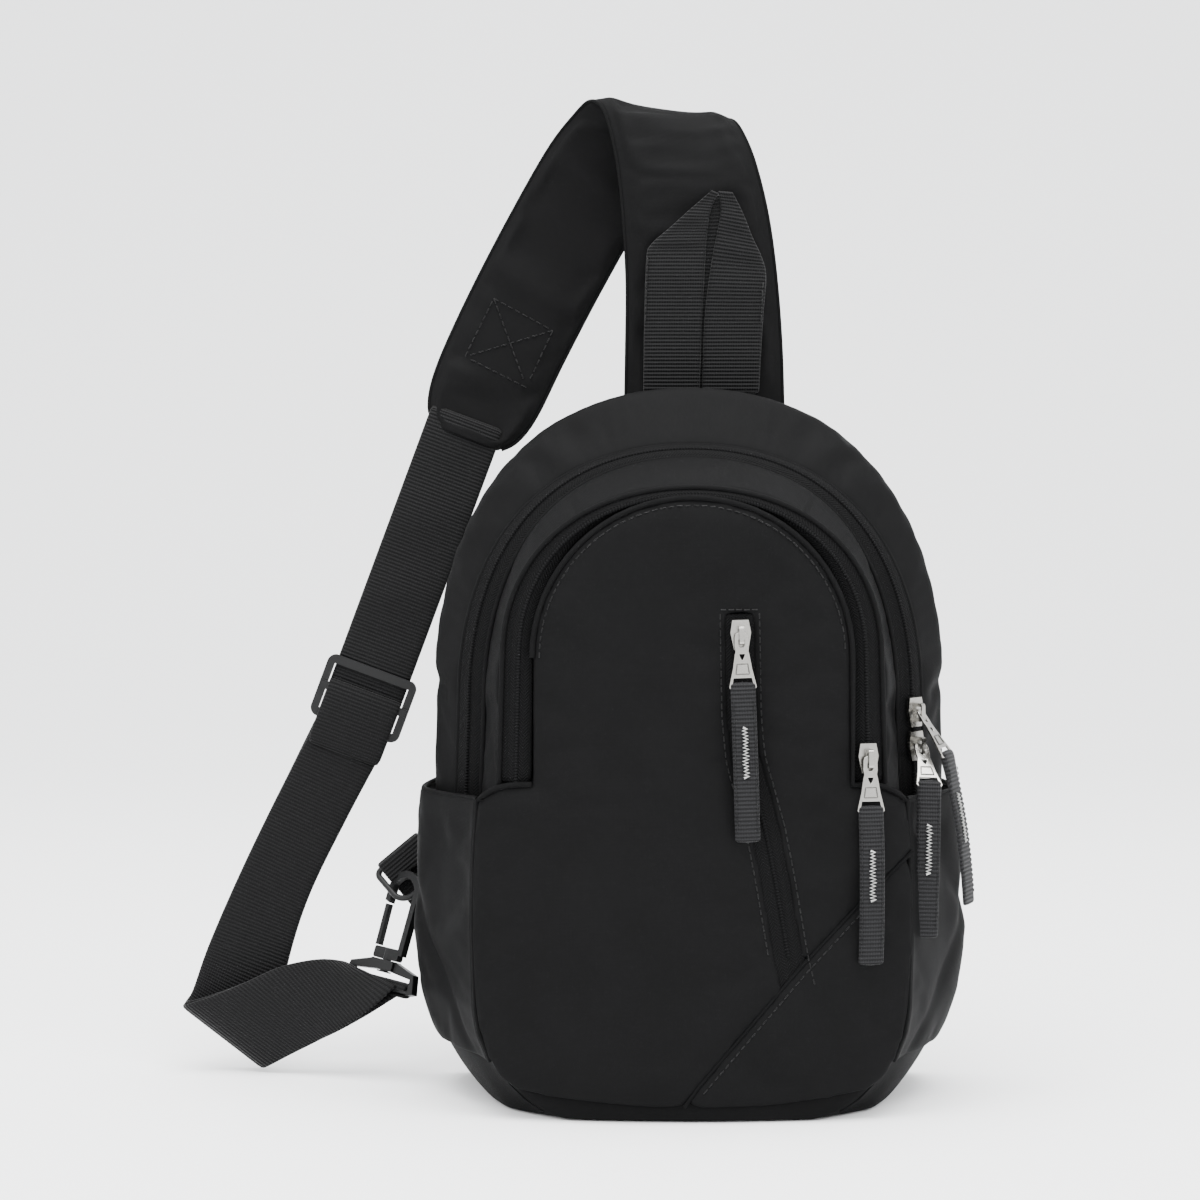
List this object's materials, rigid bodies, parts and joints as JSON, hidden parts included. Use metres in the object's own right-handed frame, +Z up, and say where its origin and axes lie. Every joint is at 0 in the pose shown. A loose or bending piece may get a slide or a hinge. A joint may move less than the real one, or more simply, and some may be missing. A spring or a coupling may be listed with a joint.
{
  "type": "sling bag",
  "caption": "Small one-shoulder sling bag with arched zip compartments, slanted front pocket, side pockets, padded strap, carry handle, adjuster and snap hook.",
  "frame": {"origin": "centre of the base on the ground", "axes": "+Z up, -Y the front of the bag, +X to the right seen from the front"},
  "size_m": [0.3476, 0.1425, 0.4359],
  "materials": {
    "shell_fabric": "matte",
    "webbing": "ribbed",
    "lining": "matte",
    "foam": "matte",
    "zipper_tape": "woven",
    "zipper_coil": "satin",
    "zipper_metal": "polished",
    "pull_ribbon": "ribbed",
    "black_plastic": "satin"
  },
  "bodies": {
    "bag": {"back_panel": "shell_fabric", "back_foam": "foam", "back_binding": "webbing", "rear_gusset": "shell_fabric", "main_zipper_tape": "zipper_tape", "main_zipper_coil": "zipper_coil", "front_gusset": "shell_fabric", "lower_gusset": "shell_fabric", "base_panel": "shell_fabric", "divider_panel": "lining", "slip_pocket": "lining", "front_panel": "shell_fabric", "front_corner_panel": "shell_fabric", "pocket_zipper_tape": "zipper_tape", "pocket_zipper_coil": "zipper_coil", "pocket_bag": "lining", "front_zipper_tape": "zipper_tape", "front_zipper_coil": "zipper_coil", "side_pocket_right": "shell_fabric", "side_pocket_left": "shell_fabric", "strap_pad": "shell_fabric", "strap_pad_foam": "foam", "grab_handle": "webbing", "strap_webbing": "webbing", "strap_webbing_return": "webbing", "d_ring_tab": "webbing"},
    "pocket_slider": {"pocket_slider": "zipper_metal"},
    "pocket_puller": {"pocket_puller": "zipper_metal"},
    "pocket_pull": {"pocket_pull": "pull_ribbon"},
    "front_slider": {"front_slider": "zipper_metal"},
    "front_puller": {"front_puller": "zipper_metal"},
    "front_pull": {"front_pull": "pull_ribbon"},
    "main_upper_slider": {"main_upper_slider": "zipper_metal"},
    "main_upper_puller": {"main_upper_puller": "zipper_metal"},
    "main_upper_pull": {"main_upper_pull": "pull_ribbon"},
    "main_lower_slider": {"main_lower_slider": "zipper_metal"},
    "main_lower_puller": {"main_lower_puller": "zipper_metal"},
    "main_lower_pull": {"main_lower_pull": "pull_ribbon"},
    "adjuster": {"adjuster": "black_plastic", "webbing_end": "webbing"},
    "d_ring": {"d_ring": "black_plastic"},
    "hook_base": {"hook_base": "black_plastic"},
    "hook_body": {"hook_body": "black_plastic"},
    "hook_gate": {"hook_gate": "black_plastic"}
  },
  "joints": [
    {"name": "pocket_zip", "type": "slide", "parent": "bag", "child": "pocket_slider", "axis": [0.0317, -0.0505, -0.9982], "range_m": [0, 0.045]},
    {"name": "pocket_puller_hinge", "type": "hinge", "parent": "pocket_slider", "child": "pocket_puller", "pos_m": [0.02003, -0.05349, 0.20422], "axis": [-0.998, -0.0563, -0.0288], "range_deg": [0, 100]},
    {"name": "pocket_pull_hinge", "type": "hinge", "parent": "pocket_puller", "child": "pocket_pull", "pos_m": [0.0207, -0.05456, 0.18306], "axis": [-0.998, -0.0563, -0.0288], "range_deg": [0, 100]},
    {"name": "front_zip", "type": "slide", "parent": "bag", "child": "front_slider", "axis": [-0.017, 0.0489, 0.9987], "range_m": [0, 0.036]},
    {"name": "front_puller_hinge", "type": "hinge", "parent": "front_slider", "child": "front_puller", "pos_m": [0.07402, -0.04946, 0.15221], "axis": [-0.9949, -0.1001, -0.012], "range_deg": [0, 100]},
    {"name": "front_pull_hinge", "type": "hinge", "parent": "front_puller", "child": "front_pull", "pos_m": [0.07438, -0.05049, 0.13104], "axis": [-0.9949, -0.1001, -0.012], "range_deg": [0, 100]},
    {"name": "main_upper_zip", "type": "slide", "parent": "bag", "child": "main_upper_slider", "axis": [-0.0312, 0, 0.9995], "range_m": [0, 0.01]},
    {"name": "main_upper_puller_hinge", "type": "hinge", "parent": "main_upper_slider", "child": "main_upper_puller", "pos_m": [0.09797, -0.01437, 0.16808], "axis": [-0.4748, -0.879, -0.0438], "range_deg": [0, 55]},
    {"name": "main_upper_pull_hinge", "type": "hinge", "parent": "main_upper_puller", "child": "main_upper_pull", "pos_m": [0.10899, -0.01945, 0.1507], "axis": [-0.4748, -0.879, -0.0438], "range_deg": [0, 90]},
    {"name": "main_lower_zip", "type": "slide", "parent": "bag", "child": "main_lower_slider", "axis": [0.0312, 0, -0.9995], "range_m": [0, 0.007]},
    {"name": "main_lower_puller_hinge", "type": "hinge", "parent": "main_lower_slider", "child": "main_lower_puller", "pos_m": [0.09842, -0.01437, 0.15358], "axis": [-0.9811, -0.1863, 0.053], "range_deg": [0, 14]},
    {"name": "main_lower_pull_hinge", "type": "hinge", "parent": "main_lower_puller", "child": "main_lower_pull", "pos_m": [0.10055, -0.0297, 0.1391], "axis": [-0.9811, -0.1863, 0.053], "range_deg": [0, 90]},
    {"name": "adjuster_slide", "type": "slide", "parent": "bag", "child": "adjuster", "axis": [0.3492, 0.0321, 0.9365], "range_m": [0, 0.045]},
    {"name": "d_ring_hinge", "type": "hinge", "parent": "bag", "child": "d_ring", "pos_m": [-0.1278, 0.0563, 0.0974], "axis": [0.7701, 0.06, 0.6351], "range_deg": [-0.4, 0.5]},
    {"name": "hook_base_hinge", "type": "hinge", "parent": "bag", "child": "hook_base", "pos_m": [-0.1362, 0.0384, 0.0414], "axis": [0.7845, -0.6138, -0.0876], "range_deg": [-0.15, 0.15]},
    {"name": "hook_swivel", "type": "hinge", "parent": "hook_base", "child": "hook_body", "pos_m": [-0.1362, 0.0384, 0.0414], "axis": [0.2618, 0.1998, 0.9442], "range_deg": [-0.7, 0.3]},
    {"name": "hook_gate_hinge", "type": "hinge", "parent": "hook_body", "child": "hook_gate", "pos_m": [-0.13705, 0.04627, 0.05511], "axis": [0.6898, 0.6455, -0.3279], "range_deg": [0, 14], "stiffness_Nm_per_rad": 0.05, "springref_deg": -11.46}
  ]
}
